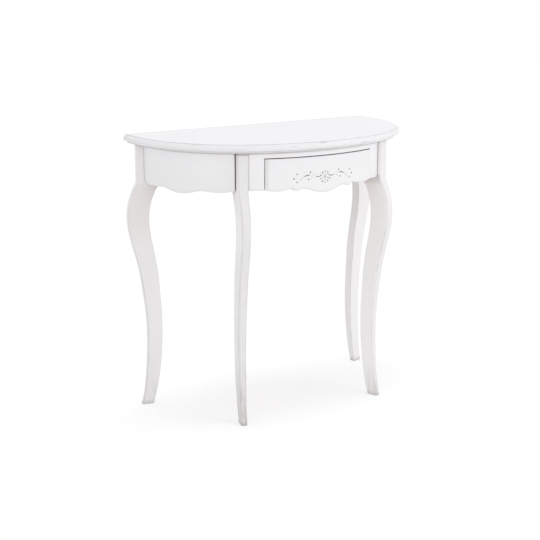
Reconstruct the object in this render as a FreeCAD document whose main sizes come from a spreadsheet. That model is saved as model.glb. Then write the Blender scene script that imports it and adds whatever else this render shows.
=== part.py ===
import FreeCAD, Part
import math
import os
import re
import Sketcher

# Demilune table: half-round top, four cabriole legs, bowed scalloped aprons and one drawer.
# Millimetres. Origin on the floor under the middle of the top, +X right, -Y front, +Z up.

SIZES = {
    # Top: bowed front, two tighter side arcs, straight ends, and the moulding along its edge
    "table_width": "788",
    "table_depth": "400",
    "table_height": "750",
    "top_thickness": "23",
    "end_straight": "67",
    "front_half_angle": "20.83",
    "rear_corner_radius": "3",
    "step_width": "8",
    "step_drop": "1.6",
    "step_ledge": "0.8",
    "ovolo_drop": "9.4",
    "belly_height": "6.6",
    "belly_in": "6.5",
    "quirk_in": "13",
    "lip_in": "12",
    "lip_height": "4",
    "moulding_overrun": "3.2",
    # Aprons: how far they stand inside the top's edge, and their boards
    "front_overhang": "31",
    "side_overhang": "34.5",
    "apron_thickness": "18",
    "apron_depth": "98.4",
    "rail_height": "16.5",
    "back_rail_depth": "86",
    "back_rail_thickness": "20",
    "back_rail_setback": "2",
    # Scalloped edges, measured from the middle of each bay and down from the aprons' lower line
    "front_lobe_drop": "15",
    "front_peak_x": "63.5",
    "front_peak_drop": "2.3",
    "cusp_x": "80.5",
    "cusp_drop": "6.6",
    "notch_x": "96",
    "notch_rise": "0.7",
    "outer_lobe_radius": "111",
    "cusp_flank_radius": "30",
    "side_lobe_drop": "12.9",
    "side_peak_x": "61",
    "side_peak_drop": "3.4",
    "side_outer_lobe_x": "105.5",
    "side_outer_lobe_drop": "6",
    "side_scallop_end_x": "142",
    "lobe_share": "0.67",
    "outer_lobe_share": "0.68",
    # Legs: where they stand, which way they face (degrees from straight ahead), and their posts
    "front_leg_x": "214.5",
    "front_leg_inset": "14.7",
    "front_leg_turn": "15.5",
    "back_leg_inset": "44",
    "back_leg_from_wall": "37.7",
    "back_leg_turn": "105",
    "post_out": "25",
    "post_in": "40",
    "post_width": "27",
    "post_round": "3",
    "post_below_top": "102",
    "joint_reveal": "0.8",
    "side_reveal": "3.4",
    # Cabriole curve, by stations up the leg: reach outwards, reach inwards and width of each section
    "arris_round": "6",
    "inner_round": "2",
    "foot_out": "26",
    "foot_in": "6",
    "foot_width": "17",
    "flare_share": "0.3",
    "flare_out": "14.2",
    "flare_in": "20.9",
    "flare_width": "19",
    "shin_share": "0.65",
    "shin_out": "8",
    "shin_in": "30.5",
    "shin_width": "21.5",
    "ankle_rise": "200",
    "ankle_out": "5.8",
    "ankle_in": "34.6",
    "ankle_width": "23",
    "calf_share": "0.4",
    "calf_out": "16.5",
    "calf_in": "30",
    "calf_width": "24.8",
    "thigh_share": "0.7",
    "thigh_out": "35.6",
    "thigh_in": "17.4",
    "thigh_width": "25.6",
    "knee_drop": "95",
    "knee_out": "53",
    "knee_in": "5",
    "knee_width": "26",
    "crown_share": "0.55",
    "crown_out": "44.5",
    "crown_in": "15.5",
    "crown_width": "26.4",
    # Drawer
    "drawer_width": "329",
    "drawer_gap": "1.5",
    "drawer_top_gap": "2.2",
    "drawer_proud": "1.5",
    "drawer_back_gap": "37",
    "drawer_side_thickness": "12",
    "drawer_side_inset": "2.5",
    "drawer_side_height": "58",
    "drawer_side_drop": "8",
    "drawer_back_thickness": "12",
    "drawer_back_drop": "4",
    "drawer_bottom_thickness": "5",
    "drawer_bottom_rise": "6",
    "panel_groove": "5",
    "panel_slack": "0.2",
    # Drawer guides
    "guide_thickness": "16",
    "guide_rise": "12",
    "runner_height": "12",
    "runner_reach": "8",
    "runner_drop": "22",
    "runner_setback": "6",
    "runner_seat": "0.3",
    "runner_play": "0.7",
    "runner_end_play": "1",
    "stop_length": "20",
    "stop_height": "14",
    "stop_reach": "12",
    "stop_seat": "0.3",
    # Blocks, dowels and screws
    "glue_gap": "0.15",
    "glue_block_width": "24",
    "glue_block_depth": "21",
    "glue_block_height": "70",
    "fixing_block_size": "22",
    "fixing_block_length": "40",
    "rail_block_gap": "20",
    "dowel_radius": "4",
    "dowel_in_post": "12",
    "dowel_in_apron": "18",
    "dowel_low": "24",
    "dowel_pitch": "48",
    "dowel_stagger": "12",
    "dowel_slack": "0.06",
    "drawer_dowel_radius": "3",
    "drawer_dowel_length": "24",
    "drawer_dowel_in_front": "9",
    "top_screw_radius": "2",
    "top_screw_head": "4",
    "top_screw_length": "30",
    "runner_screw_radius": "1.75",
    "runner_screw_head": "3.5",
    "runner_screw_length": "18",
    "screw_slack": "0.06",
}

# Formulas on those sizes, for what follows from them
TOP_UNDER = "(table_height - top_thickness)"
APRON_LOW = f"({TOP_UNDER} - apron_depth)"
ARC_SIN, ARC_COS = "sin(front_half_angle)", "cos(front_half_angle)"
ARCS_REACH = f"({ARC_COS} * table_width / 2 - (1 - {ARC_SIN}) * (table_depth - end_straight))"
FRONT_RADIUS = f"({ARCS_REACH} / ({ARC_COS} + {ARC_SIN} - 1))"
FRONT_CENTRE_Y = f"({FRONT_RADIUS} - table_depth / 2)"
SIDE_RADIUS = f"((table_width / 2 - {FRONT_RADIUS} * {ARC_SIN}) / (1 - {ARC_SIN}))"
SIDE_CENTRE_X = f"(({FRONT_RADIUS} - {SIDE_RADIUS}) * {ARC_SIN})"
SIDE_CENTRE_Y = "(table_depth / 2 - end_straight)"
FRONT_FACE = f"({FRONT_RADIUS} - front_overhang)"
FRONT_BACK_FACE = f"({FRONT_FACE} - apron_thickness)"
SIDE_FACE = f"({SIDE_RADIUS} - side_overhang)"
SIDE_BACK_FACE = f"({SIDE_FACE} - apron_thickness)"
FRONT_LEG_Y = f"({FRONT_CENTRE_Y} - sqrt({FRONT_FACE} ^ 2 - front_leg_x ^ 2) + front_leg_inset)"
BACK_LEG_X = "(table_width / 2 - back_leg_inset)"
BACK_LEG_Y = "(table_depth / 2 - back_leg_from_wall)"
SHOULDER = f"({TOP_UNDER} - post_below_top)"
BACK_RAIL_Y = f"({BACK_LEG_Y} + post_in * cos(back_leg_turn) - back_rail_thickness / 2 - back_rail_setback)"
DRAWER_TOP = f"({TOP_UNDER} - rail_height - drawer_top_gap)"
DRAWER_HALF = "(drawer_width / 2)"
DRAWER_FACE = f"({FRONT_FACE} + drawer_proud)"
OPENING_HALF = f"({DRAWER_HALF} + drawer_gap)"
DRAWER_FRONT_Y = "(front_overhang - table_depth / 2)"
DRAWER_BACK_Y = f"({BACK_RAIL_Y} - drawer_back_gap)"
DRAWER_DEPTH = f"({DRAWER_BACK_Y} - {DRAWER_FRONT_Y})"
SIDE_OUTER_X = f"({DRAWER_HALF} - drawer_side_inset)"
SIDE_INNER_X = f"({SIDE_OUTER_X} - drawer_side_thickness)"
SIDE_TOP = f"({DRAWER_TOP} - drawer_side_drop)"
SIDE_LOW = f"({SIDE_TOP} - drawer_side_height)"
PANEL_LOW = f"({SIDE_LOW} + drawer_bottom_rise)"
PANEL_TOP = f"({PANEL_LOW} + drawer_bottom_thickness)"
RUNNER_TOP = f"({SIDE_TOP} - runner_drop)"
RUNNER_LOW = f"({RUNNER_TOP} - runner_height)"
RUNNER_INNER_X = f"({OPENING_HALF} - runner_reach)"
RUNNER_FRONT_Y = f"({FRONT_CENTRE_Y} - sqrt({FRONT_BACK_FACE} ^ 2 - {OPENING_HALF} ^ 2) + runner_setback)"
RUNNER_LENGTH = f"({BACK_RAIL_Y} - {RUNNER_FRONT_Y})"

HANDS = {"left": -1, "right": 1}
UP = FreeCAD.Vector(0, 0, 1)
RIGHT_ANGLE = 90

doc = FreeCAD.newDocument("demilune_table")
sheet = doc.addObject("Spreadsheet::Sheet", "Sizes")
for row, (alias, number) in enumerate(SIZES.items(), start=1):
    sheet.set(f"A{row}", alias)
    sheet.set(f"B{row}", number)
    sheet.setAlias(f"B{row}", alias)
doc.recompute()

ALIAS = re.compile(r"\b(" + "|".join(SIZES) + r")\b")
pieces = []


def bound(formula):
    """The formula with each size named as a cell of the sheet."""
    return ALIAS.sub(r"Sizes.\1", formula)


def value(formula):
    """What the formula comes to with the sheet's present sizes."""
    result = sheet.evalExpression(bound(formula))
    return float(getattr(result, "Value", result))


def point(x, y, z="0"):
    return FreeCAD.Vector(value(x), value(y), value(z))


def at(position, turn=0):
    """Placement at a position, turned about the vertical by so many degrees."""
    return FreeCAD.Placement(position, FreeCAD.Rotation(UP, turn))


def sketch_on(body, role, name, raised="0"):
    """New sketch on one of the body's own origin planes, raised along the plane's normal."""
    sketch = body.newObject("Sketcher::SketchObject", name)
    plane = next(feature for feature in body.Origin.OriginFeatures if feature.Role == role)
    sketch.AttachmentSupport = [(plane, "")]
    sketch.MapMode = "FlatFace"
    sketch.setExpression("AttachmentOffset.Base.z", bound(raised))
    return sketch


def arc_between(start, end, radius, turn):
    """The lesser arc from start to end; turn is 1 where it bends to the left and -1 to the right."""
    chord = end - start
    left = FreeCAD.Vector(-chord.y, chord.x, 0).normalize()
    height = math.sqrt(max(radius ** 2 - chord.Length ** 2 / 4, 0))
    centre = start + chord * 0.5 + left * (height * turn)
    first, last = (start, end) if turn > 0 else (end, start)
    angles = [math.atan2(tip.y - centre.y, tip.x - centre.x) for tip in (first, last)]
    return Part.ArcOfCircle(Part.Circle(centre, UP, radius), *angles)


def outline(sketch, corners, closed=True):
    """Draws lines and arcs through the corners and ties each one to its formulas.

    A corner is (x, y), or (x, y, (radius, turn)) where the edge that leaves it is an arc.
    """
    points = [point(corner[0], corner[1]) for corner in corners]
    edges = []
    rules = []
    for index, corner in enumerate(corners if closed else corners[:-1]):
        start, end = points[index], points[(index + 1) % len(points)]
        if len(corner) == 2:
            edge = sketch.addGeometry(Part.LineSegment(start, end), False)
            edges.append((edge, 1, 2))
            continue
        radius, turn = corner[2]
        edge = sketch.addGeometry(arc_between(start, end, value(radius), turn), False)
        edges.append((edge, 1, 2) if turn > 0 else (edge, 2, 1))
        rules.append((Sketcher.Constraint("Radius", edge, value(radius)), radius))
    ties = []
    for index, (edge, first, last) in enumerate(edges):
        ties.append((edge, first, points[index], corners[index]))
        if closed or index + 1 < len(edges):
            following, start, _ = edges[(index + 1) % len(edges)]
            rules.append((Sketcher.Constraint("Coincident", edge, last, following, start), None))
        else:
            ties.append((edge, last, points[-1], corners[-1]))
    for edge, end, place, corner in ties:
        rules.append((Sketcher.Constraint("DistanceX", -1, 1, edge, end, place.x), corner[0]))
        rules.append((Sketcher.Constraint("DistanceY", -1, 1, edge, end, place.y), corner[1]))
    sketch.addConstraint([rule for rule, _ in rules])
    for index, (_, formula) in enumerate(rules):
        if formula is not None:
            sketch.renameConstraint(index, f"size_{index}")
            sketch.setExpression(f"Constraints.size_{index}", bound(formula))


def new_body(name, placement=FreeCAD.Placement()):
    body = doc.addObject("PartDesign::Body", name)
    body.Placement = placement
    return body


def pad(body, sketch, length):
    feature = body.newObject("PartDesign::Pad", f"{sketch.Name}_pad")
    feature.Profile = sketch
    feature.setExpression("Length", bound(length))
    return feature


def pocket_through(body, sketch):
    feature = body.newObject("PartDesign::Pocket", f"{sketch.Name}_pocket")
    feature.Profile = sketch
    feature.Type = "ThroughAll"
    feature.SideType = "Symmetric"
    return feature


def box(name, sizes, placement):
    """Box of three formulas, with its low corner at the placement."""
    solid = doc.addObject("Part::Box", name)
    for side, formula in zip(("Length", "Width", "Height"), sizes):
        solid.setExpression(side, bound(formula))
    solid.Placement = placement
    return solid


def cylinder(name, radius, height, placement):
    solid = doc.addObject("Part::Cylinder", name)
    solid.setExpression("Radius", bound(radius))
    solid.setExpression("Height", bound(height))
    solid.Placement = placement
    return solid


def group(name, members):
    compound = doc.addObject("Part::Compound", name)
    compound.Links = members
    return compound


def combine(kind, name, base, tool):
    """Part::Cut or Part::Common of two objects."""
    result = doc.addObject(kind, name)
    result.Base = base
    result.Tool = tool
    return result


def drilled(name, base, tools):
    """The base with every tool cut out of it."""
    return combine("Part::Cut", f"{name}_drilled", base, group(f"{name}_tools", tools))


def finish(label, solid):
    """Names the finished sub-part."""
    solid.Label = label
    pieces.append(solid)
    return solid


def leg_frame(end, side):
    """Placement of a leg: its X points the way the leg's curve faces, its Y along the frame."""
    if end == "front":
        position = point("front_leg_x", FRONT_LEG_Y)
        turn = value("front_leg_turn")
    else:
        position = point(BACK_LEG_X, BACK_LEG_Y)
        turn = value("back_leg_turn")
    position.x *= side
    return at(position, side * turn - RIGHT_ANGLE)


def bay_frame(bay, side=1):
    """Placement at the centre of a bay's arc, with -Y pointing at the middle of the bay."""
    if bay == "front":
        return at(point("0", FRONT_CENTRE_Y))
    centre = point(SIDE_CENTRE_X, SIDE_CENTRE_Y)
    centre.x *= side
    return at(centre, side * value(SIDE_MIDDLE))


LEGS = {f"{end}_{hand}": (end, side) for end in ("front", "back") for hand, side in HANDS.items()}

FRONT_POST_BEARING = f"atan2({SIDE_CENTRE_Y} - {FRONT_LEG_Y}; front_leg_x - {SIDE_CENTRE_X})"
BACK_POST_BEARING = f"atan2({SIDE_CENTRE_Y} - {BACK_LEG_Y}; {BACK_LEG_X} - {SIDE_CENTRE_X})"
SIDE_MIDDLE = f"(90 - ({FRONT_POST_BEARING} + {BACK_POST_BEARING}) / 1deg / 2)"
SIDE_HALF_SWEEP = f"(({FRONT_POST_BEARING} - {BACK_POST_BEARING}) / 1deg / 2)"
FRONT_HALF_SWEEP = f"(90 - atan2({FRONT_CENTRE_Y} - {FRONT_LEG_Y}; front_leg_x) / 1deg)"


# Screws: countersunk head, shank and point, drawn as half a section and turned
def screw_form(name, radius, head, length, slack):
    body = new_body(name)
    section = sketch_on(body, "XZ_Plane", f"{name}_section")
    shank = f"({radius} + {slack})"
    outline(section, [
        ("0", "0"),
        (f"{head} + {slack}", "0"),
        (shank, f"{head} - {radius}"),
        (shank, f"{length} - {radius}"),
        ("0", f"{length} + {slack}"),
    ])
    turned = body.newObject("PartDesign::Revolution", f"{name}_turned")
    turned.Profile = section
    turned.ReferenceAxis = (section, ["V_Axis"])
    turned.Angle = 360
    return body


def placed_copies(form, name, placements):
    copies = []
    for index, placement in enumerate(placements):
        copy = doc.addObject("App::Link", f"{name}_{index}")
        copy.LinkedObject = form
        copy.LinkTransform = False
        copy.LinkPlacement = placement
        copies.append(copy)
    return copies


def fixing_block_frames():
    """Each block under the top: the board that it is glued to, its side, and where its low corner lies."""
    frames = []
    length = value("fixing_block_length")
    low = value(f"{TOP_UNDER} - fixing_block_size")
    inner = value(f"{OPENING_HALF} + guide_thickness")
    for side in HANDS.values():
        rail_x = side * (inner + value("rail_block_gap") + length / 2) - length / 2
        rail = FreeCAD.Vector(rail_x, value(f"{BACK_RAIL_Y} - fixing_block_size"), low)
        frames.append(("back_rail", side, at(rail)))
        guide_middle = value(f"({DRAWER_FRONT_Y} + {BACK_RAIL_Y}) / 2")
        guide = FreeCAD.Vector(side * inner, guide_middle + side * length / 2, low)
        frames.append(("guide_board", side, at(guide, -RIGHT_ANGLE * side)))
        reach = value(f"{SIDE_BACK_FACE} - fixing_block_size")
        apron = at(FreeCAD.Vector(length / 2, -reach, low), 2 * RIGHT_ANGLE)
        frames.append(("side_apron", side, bay_frame("side", side) * apron))
    return frames


screw_foot = at(point("fixing_block_length / 2", "fixing_block_size / 2"))
top_screw_frames = [frame * screw_foot for _, _, frame in fixing_block_frames()]
top_screw_sizes = ("top_screw_radius", "top_screw_head", "top_screw_length")
top_screw = screw_form("top_screw", *top_screw_sizes, "0")
top_screw_hole = screw_form("top_screw_hole", *top_screw_sizes, "screw_slack")
top_holes = placed_copies(top_screw_hole, "top_hole", top_screw_frames)
finish("top_screws", group("top_screw_set", placed_copies(top_screw, "top_screw_copy", top_screw_frames)))


# Top: one board, with a stepped ovolo and a small lip routed along its curved edge
def top_board():
    body = new_body("top_blank")
    half, rear, corner = "table_width / 2", "table_depth / 2", "rear_corner_radius"
    spring_x = f"{FRONT_RADIUS} * {ARC_SIN}"
    spring_y = f"{FRONT_CENTRE_Y} - {FRONT_RADIUS} * {ARC_COS}"
    plan = sketch_on(body, "XY_Plane", "top_plan", TOP_UNDER)
    outline(plan, [
        (f"-{half}", f"{rear} - {corner}"),
        (f"-{half}", SIDE_CENTRE_Y, (SIDE_RADIUS, 1)),
        (f"-{spring_x}", spring_y, (FRONT_RADIUS, 1)),
        (spring_x, spring_y, (SIDE_RADIUS, 1)),
        (half, SIDE_CENTRE_Y),
        (half, f"{rear} - {corner}", (corner, 1)),
        (f"{half} - {corner}", rear),
        (f"{corner} - {half}", rear, (corner, 1)),
    ])
    pad(body, plan, "top_thickness")
    path = sketch_on(body, "XY_Plane", "edge_path", TOP_UNDER)
    outline(path, [
        (f"-{half}", f"{rear} + moulding_overrun"),
        (f"-{half}", SIDE_CENTRE_Y, (SIDE_RADIUS, 1)),
        (f"-{spring_x}", spring_y, (FRONT_RADIUS, 1)),
        (spring_x, spring_y, (SIDE_RADIUS, 1)),
        (half, SIDE_CENTRE_Y),
        (half, f"{rear} + moulding_overrun"),
    ], closed=False)
    ledge = "table_height - step_drop"
    ovolo_run, ovolo_fall = "(step_width - step_ledge)", "ovolo_drop"
    ovolo_radius = f"({ovolo_run} ^ 2 + {ovolo_fall} ^ 2) / (2 * {ovolo_run})"
    belly = f"({ledge} - ovolo_drop)"
    belly_radius = "(belly_in ^ 2 + belly_height ^ 2) / (2 * belly_in)"
    lip_top = f"({TOP_UNDER} + lip_height)"
    cutter = sketch_on(body, "XZ_Plane", "edge_cutter", f"-({rear} + moulding_overrun)")
    outline(cutter, [
        (f"-{half} - step_width", "table_height + step_width"),
        (f"-{half} - step_width", f"{TOP_UNDER} - step_width"),
        (f"-{half} + lip_in", f"{TOP_UNDER} - step_width"),
        (f"-{half} + lip_in", lip_top),
        (f"-{half} + quirk_in", f"{lip_top} + step_ledge"),
        (f"-{half} + belly_in", f"{belly} - belly_height", (belly_radius, -1)),
        (f"-{half}", belly, (ovolo_radius, -1)),
        (f"-{half} + {ovolo_run}", ledge),
        (f"-{half} + step_width", ledge),
        (f"-{half} + step_width", "table_height + step_width"),
    ])
    moulding = body.newObject("PartDesign::SubtractivePipe", "edge_moulding")
    moulding.Profile = cutter
    moulding.Spine = (path, [f"Edge{number}" for number in range(1, 6)])
    return body


finish("top_board", drilled("top_board", top_board(), top_holes))


# Legs: sawn to an S curve, tapered in width, with eased outer arrises and a square post on top
def leg_section(body, name, height, out, inward, width, rounding):
    section = sketch_on(body, "XY_Plane", f"leg_{name}", height)
    half = f"({width} / 2)"
    outer, inner = f"({out} - {rounding})", f"(inner_round - {inward})"
    outline(section, [
        (outer, f"-{half}", (rounding, 1)),
        (out, f"{rounding} - {half}"),
        (out, f"{half} - {rounding}", (rounding, 1)),
        (outer, half),
        (inner, half, ("inner_round", 1)),
        (f"-{inward}", f"{half} - inner_round"),
        (f"-{inward}", f"inner_round - {half}", ("inner_round", 1)),
        (inner, f"-{half}"),
    ])
    return section


def leg_form():
    body = new_body("leg_form")
    knee = f"({SHOULDER} - knee_drop)"
    rises = {
        "foot": "0",
        "flare": "ankle_rise * flare_share",
        "shin": "ankle_rise * shin_share",
        "ankle": "ankle_rise",
        "calf": f"ankle_rise + ({knee} - ankle_rise) * calf_share",
        "thigh": f"ankle_rise + ({knee} - ankle_rise) * thigh_share",
        "knee": knee,
        "crown": f"{knee} + knee_drop * crown_share",
    }
    sections = [
        leg_section(body, name, rise, f"{name}_out", f"{name}_in", f"{name}_width", "arris_round")
        for name, rise in rises.items()
    ]
    post_sizes = ("post_out", "post_in", "post_width", "post_round")
    sections.append(leg_section(body, "shoulder", SHOULDER, *post_sizes))
    curve = body.newObject("PartDesign::AdditiveLoft", "leg_curve")
    curve.Profile = sections[0]
    curve.Sections = sections[1:]
    post = leg_section(body, "post", SHOULDER, *post_sizes)
    pad(body, post, "post_below_top")
    return body


# Dowels: in each joint between an apron or the back rail and a post
def bay_reach(frame, bay_centre, radius, along):
    """How far out of the leg's own axis an arc round bay_centre lies, at a place along the frame."""
    centre = frame.inverse().multVec(bay_centre)
    return centre.x + math.sqrt(radius ** 2 - (along - centre.y) ** 2)


def dowel_axes(end, side):
    """Placements of the dowels in a leg: one pair for each board that meets it, Z along the dowel."""
    frame = leg_frame(end, side)
    half = value("post_width / 2")
    in_post, in_apron = value("dowel_in_post"), value("dowel_in_apron")
    low, pitch, stagger = value(f"{APRON_LOW} + dowel_low"), value("dowel_pitch"), value("dowel_stagger")
    boards = [("side", side if end == "front" else -side, SIDE_FACE, low)]
    if end == "front":
        boards.append(("front", -side, FRONT_FACE, low + stagger))
    axes = []
    for bay, facing, face, height in boards:
        middle = value(f"{face} - apron_thickness / 2")
        centre = bay_frame(bay, side).Base
        along = facing * (half + in_apron / 2)
        reach = bay_reach(frame, centre, middle, along)
        lie = FreeCAD.Rotation(FreeCAD.Vector(1, 0, 0), -RIGHT_ANGLE * facing)
        for rise in (height, height + pitch):
            start = FreeCAD.Vector(reach, facing * (half - in_post), rise)
            axes.append((bay, frame * FreeCAD.Placement(start, lie)))
    if end == "back":
        lie = FreeCAD.Rotation(FreeCAD.Vector(0, 1, 0), -RIGHT_ANGLE)
        for rise in (low + stagger, low + stagger + pitch):
            start = FreeCAD.Vector(in_post - value("post_in"), 0, rise)
            axes.append(("back", frame * FreeCAD.Placement(start, lie)))
    return axes


DOWEL_LENGTH = "(dowel_in_post + dowel_in_apron)"
dowels = []
dowel_holes = {}
for leg, (end, side) in LEGS.items():
    for index, (board, axis) in enumerate(dowel_axes(end, side)):
        dowels.append(cylinder(f"{leg}_dowel_{index}", "dowel_radius", DOWEL_LENGTH, axis))
        hole_axis = axis * at(FreeCAD.Vector(0, 0, -value("dowel_slack")))
        hole = cylinder(f"{leg}_dowel_hole_{index}", "dowel_radius + dowel_slack",
                        f"{DOWEL_LENGTH} + 2 * dowel_slack", hole_axis)
        dowel_holes.setdefault(leg, []).append(hole)
        dowel_holes.setdefault(board, []).append(hole)
        dowel_holes.setdefault(f"{board}_{side}", []).append(hole)
finish("apron_dowels", group("apron_dowel_set", dowels))

form = leg_form()
for leg, (end, side) in LEGS.items():
    blank = placed_copies(form, f"{leg}_blank", [leg_frame(end, side)])[0]
    finish(f"{leg}_leg", drilled(f"{leg}_leg", blank, dowel_holes[leg]))


# Aprons: bowed boards between the posts
def sector_plan(body, name, face, back, half_sweep, raised):
    """Plan of a bowed board: two arcs about the body's origin, closed by radial ends."""
    plan = sketch_on(body, "XY_Plane", name, raised)
    outline(plan, [
        (f"-{face} * sin({half_sweep})", f"-{face} * cos({half_sweep})", (face, 1)),
        (f"{face} * sin({half_sweep})", f"-{face} * cos({half_sweep})"),
        (f"{back} * sin({half_sweep})", f"-{back} * cos({half_sweep})", (back, -1)),
        (f"-{back} * sin({half_sweep})", f"-{back} * cos({half_sweep})"),
    ])
    return plan


def mirrored(corners):
    """A run of corners from the right to the middle, then its mirror image; each edge keeps its bend."""
    run = list(corners)
    for index in range(len(corners) - 1, 0, -1):
        x, y = corners[index][:2]
        run.append((f"-({x})", y, *corners[index - 1][2:]))
    x, y = corners[0][:2]
    run.append((f"-({x})", y))
    return run


def centre_lobe(low, peak_x, peak_z):
    """Tangent lobe and cove from a bay's middle to its first peak: radii, and x and z where they meet."""
    angle = f"(2 * atan(({peak_z} - {low}) / {peak_x}))"
    both = f"({peak_x} / sin{angle})"
    lobe, cove = f"({both} * lobe_share)", f"({both} * (1 - lobe_share))"
    return lobe, cove, f"({lobe} * sin{angle})", f"({low} + {lobe} * (1 - cos{angle}))"


def scallop_pocket(body, name, half, foot, edge):
    """Cuts away all that lies under a scalloped edge, given from its right end to the middle lobe."""
    under = sketch_on(body, "XZ_Plane", name)
    outline(under, [(f"-({half})", foot), (half, foot), *mirrored(edge)])
    pocket_through(body, under)


def side_apron(hand, side):
    body = new_body(f"{hand}_side_board", bay_frame("side", side))
    plan = sector_plan(body, f"{hand}_side_plan", SIDE_FACE, SIDE_BACK_FACE, SIDE_HALF_SWEEP,
                       f"{APRON_LOW} - side_lobe_drop")
    pad(body, plan, "apron_depth + side_lobe_drop")
    low, peak = f"({APRON_LOW} - side_lobe_drop)", f"({APRON_LOW} - side_peak_drop)"
    lobe, cove, meet_x, meet_z = centre_lobe(low, "side_peak_x", peak)
    outer_low = f"({APRON_LOW} - side_outer_lobe_drop)"
    run, fall = "(side_outer_lobe_x - side_peak_x)", "(side_outer_lobe_drop - side_peak_drop)"
    angle = f"(2 * atan({fall} / {run}))"
    both = f"({run} / sin{angle})"
    outer_lobe, outer_cove = f"({both} * outer_lobe_share)", f"({both} * (1 - outer_lobe_share))"
    rise_run = "(side_scallop_end_x - side_outer_lobe_x)"
    rise_radius = f"(({rise_run} ^ 2 + side_outer_lobe_drop ^ 2) / (2 * side_outer_lobe_drop))"
    outer_meet_x = f"side_peak_x + {outer_cove} * sin{angle}"
    outer_meet_z = f"{peak} - {outer_cove} * (1 - cos{angle})"
    scallop_pocket(body, f"{hand}_side_scallop", SIDE_FACE, f"{low} - side_lobe_drop", [
        (SIDE_FACE, APRON_LOW),
        ("side_scallop_end_x", APRON_LOW, (rise_radius, -1)),
        ("side_outer_lobe_x", outer_low, (outer_lobe, -1)),
        (outer_meet_x, outer_meet_z, (outer_cove, 1)),
        ("side_peak_x", peak, (cove, 1)),
        (meet_x, meet_z, (lobe, -1)),
    ])
    return body


def post_slot(name, end, side, facing, reveal):
    """Room that an apron's end leaves for a post, from past the post's axis to its face and a reveal."""
    half, past = f"(post_width / 2 + {reveal})", "post_width"
    sizes = (f"post_in + post_out + 2 * {past}", f"{half} + {past}", "table_height")
    corner = FreeCAD.Vector(-value(f"post_in + {past}"), -value(past if facing > 0 else half), 0)
    return box(name, sizes, leg_frame(end, side) * at(corner))


for hand, side in HANDS.items():
    slots = [
        post_slot(f"{hand}_side_front_slot", "front", side, side, "side_reveal"),
        post_slot(f"{hand}_side_back_slot", "back", side, -side, "joint_reveal"),
    ]
    board = drilled(f"{hand}_side_apron", side_apron(hand, side), slots + dowel_holes[f"side_{side}"])
    finish(f"{hand}_side_apron", board)


def front_apron():
    body = new_body("front_board", bay_frame("front"))
    plan = sector_plan(body, "front_plan", FRONT_FACE, FRONT_BACK_FACE, FRONT_HALF_SWEEP, APRON_LOW)
    pad(body, plan, "apron_depth")
    opening = sketch_on(body, "XZ_Plane", "drawer_opening")
    foot, head = f"{APRON_LOW} - rail_height", f"{TOP_UNDER} - rail_height"
    outline(opening, [
        (f"-{OPENING_HALF}", foot),
        (OPENING_HALF, foot),
        (OPENING_HALF, head),
        (f"-{OPENING_HALF}", head),
    ])
    pocket_through(body, opening)
    return body


front_slots = [
    post_slot(f"front_apron_{hand}_slot", "front", side, -side, "joint_reveal")
    for hand, side in HANDS.items()
]
finish("front_apron", drilled("front_apron", front_apron(), front_slots + dowel_holes["front"]))


# Back rail: a straight board whose ends follow the inner faces of the back posts
def back_rail():
    corner = point(f"-{BACK_LEG_X}", BACK_RAIL_Y, f"{TOP_UNDER} - back_rail_depth")
    board_sizes = (f"2 * {BACK_LEG_X}", "back_rail_thickness", "back_rail_depth")
    board = box("back_rail_board", board_sizes, at(corner))
    ends = []
    for hand, side in HANDS.items():
        low = FreeCAD.Vector(-value("post_in"), -value("post_in + post_width"), 0)
        sizes = ("post_in + table_width / 2", "2 * (post_in + post_width)", "table_height")
        ends.append(box(f"{hand}_rail_end", sizes, leg_frame("back", side) * at(low)))
    return drilled("back_rail", board, ends + dowel_holes["back"])


finish("back_rail", back_rail())


# Blocks: one in each corner behind a side apron, and six that carry the screws into the top
def inside_bay(name, solid, bay, side=1):
    """The part of a solid that lies clear of the back of a bay's apron."""
    back = FRONT_BACK_FACE if bay == "front" else SIDE_BACK_FACE
    room = cylinder(f"{name}_room", f"{back} - glue_gap", "table_height", bay_frame(bay, side))
    return combine("Part::Common", f"{name}_fitted", solid, room)


for leg, (end, side) in LEGS.items():
    facing = side if end == "front" else -side
    place = leg_frame(end, side)
    middle = facing * value("(post_width + glue_block_width) / 2")
    apron_back = bay_reach(place, bay_frame("side", side).Base, value(SIDE_BACK_FACE), middle)
    corner = FreeCAD.Vector(apron_back - value("glue_block_depth"), middle - value("glue_block_width / 2"),
                            value(f"{TOP_UNDER} - glue_block_height"))
    sizes = ("glue_block_depth + apron_thickness", "glue_block_width", "glue_block_height")
    block = box(f"{leg}_block", sizes, place * at(corner))
    finish(f"{leg}_glue_block", inside_bay(f"{leg}_block", block, "side", side))

block_sizes = ("fixing_block_length", "fixing_block_size", "fixing_block_size")
fixing_blocks = []
for hole, (board, side, frame) in zip(top_holes, fixing_block_frames()):
    name = f"{board}_block_{len(fixing_blocks)}"
    block = box(name, block_sizes, frame)
    if board == "side_apron":
        block = inside_bay(name, block, "side", side)
    fixing_blocks.append(drilled(name, block, [hole]))
finish("top_fixing_blocks", group("top_fixing_block_set", fixing_blocks))


# Drawer guides: boards from the front apron to the back rail, with a runner batten and a stop on each
def mirrored_corner(side, inner, thickness, y, z):
    """Low corner of a box that lies from inner to inner + thickness on one side of the table."""
    x = value(inner) if side > 0 else -value(f"{inner} + {thickness}")
    return at(FreeCAD.Vector(x, value(y), value(z)))


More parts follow.
